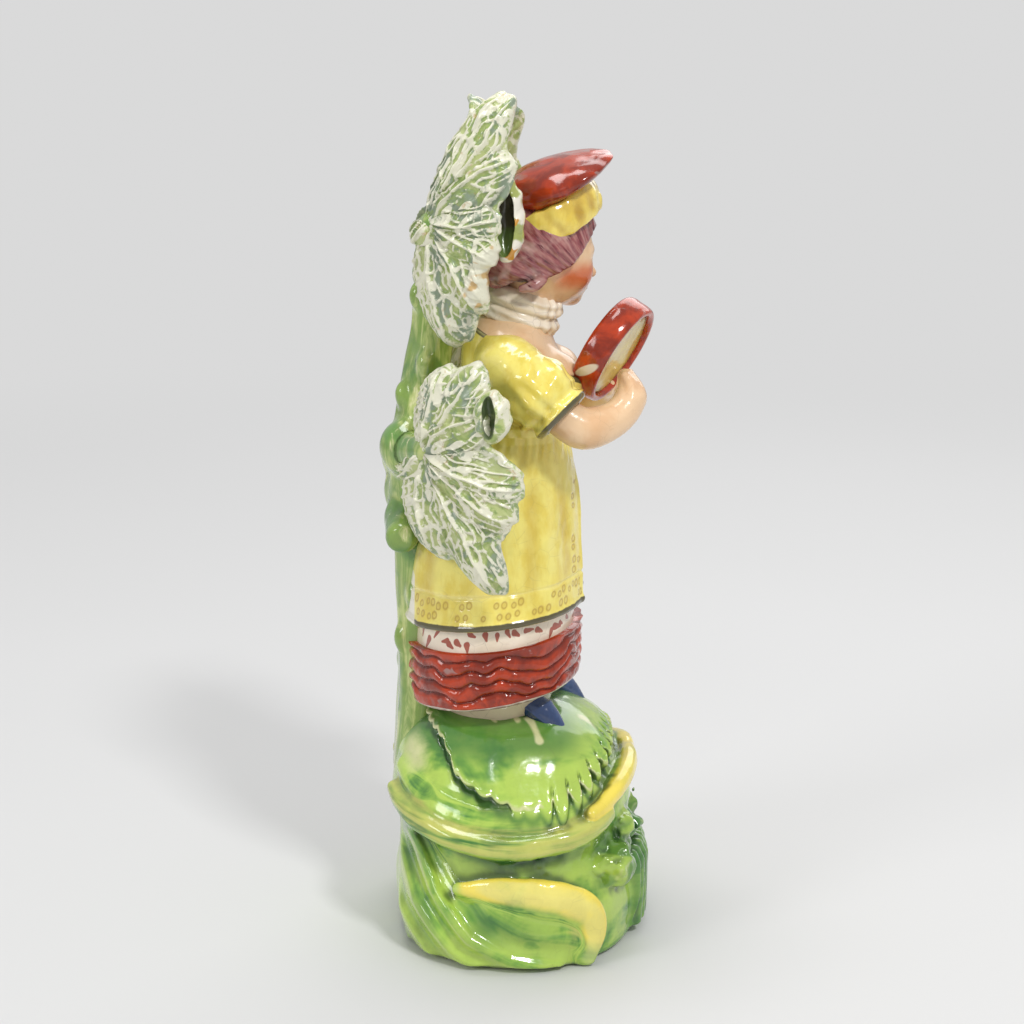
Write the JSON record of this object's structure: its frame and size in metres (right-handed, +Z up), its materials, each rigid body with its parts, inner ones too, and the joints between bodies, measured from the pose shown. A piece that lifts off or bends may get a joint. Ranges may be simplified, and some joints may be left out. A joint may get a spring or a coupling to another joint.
{
  "type": "glazed pottery figure",
  "caption": "Glazed pottery figure of a girl in a flat cap holding a tambourine, on a hollow scrolled mound before a leafy tree.",
  "frame": {"origin": "on the surface the figure stands on, under the middle of its bounding box", "axes": "+Z up; the girl faces -Y, so +X is her left"},
  "size_m": [0.0642, 0.0518, 0.161],
  "materials": {
    "mound_green": "glossy lead glaze over green, mottled lime to bottle green",
    "scroll_yellow": "glossy lead glaze over yellow enamel edge on cream",
    "bark_green": "glossy lead glaze, green with cream runs",
    "leaf_green": "worn green over cream, dark in the hollows",
    "white_glaze": "glossy cream-white glaze, a little crazed",
    "red_enamel": "glossy iron-red enamel",
    "yellow_enamel": "glossy yellow enamel with painted and stamped details",
    "flesh_enamel": "flesh tint on glazed white, blushed",
    "hair_enamel": "streaked purple-brown enamel",
    "ochre_enamel": "glossy ochre-yellow enamel",
    "blue_enamel": "glossy cobalt-blue enamel"
  },
  "bodies": {
    "root": {"base_shell": "mound_green", "turf_mat": "mound_green", "side_panel_right": "mound_green", "side_panel_left": "mound_green", "front_flutes": "mound_green", "rock_right": "mound_green", "rock_left": "mound_green", "collar_scroll": "scroll_yellow", "scroll_rim_right": "scroll_yellow", "scroll_rim_left": "scroll_yellow", "trunk": "bark_green", "bud_right": "bark_green", "bud_left": "bark_green", "stub_right": "bark_green", "stub_left": "bark_green", "branch_upper_right": "bark_green", "branch_upper_left": "bark_green", "branch_lower_right": "bark_green", "branch_lower_left": "bark_green", "leaf_upper_right": "leaf_green", "leaf_upper_left": "leaf_green", "leaf_lower_right": "leaf_green", "leaf_lower_left": "leaf_green", "leaf_crown": "leaf_green", "curl_lower_right": "leaf_green", "curl_lower_left": "leaf_green", "petticoat": "white_glaze", "ruff": "white_glaze", "curl_upper_right": "white_glaze", "curl_upper_left": "white_glaze", "flounce": "red_enamel", "hat_crown": "red_enamel", "tambourine_hoop": "red_enamel", "robe": "yellow_enamel", "bodice": "yellow_enamel", "sleeve_right": "yellow_enamel", "sleeve_left": "yellow_enamel", "hat_band": "yellow_enamel", "head": "flesh_enamel", "neck": "flesh_enamel", "forearm_right": "flesh_enamel", "forearm_left": "flesh_enamel", "hair": "hair_enamel", "tambourine_skin": "ochre_enamel", "shoe_right": "blue_enamel", "shoe_left": "blue_enamel"}
  },
  "joints": []
}
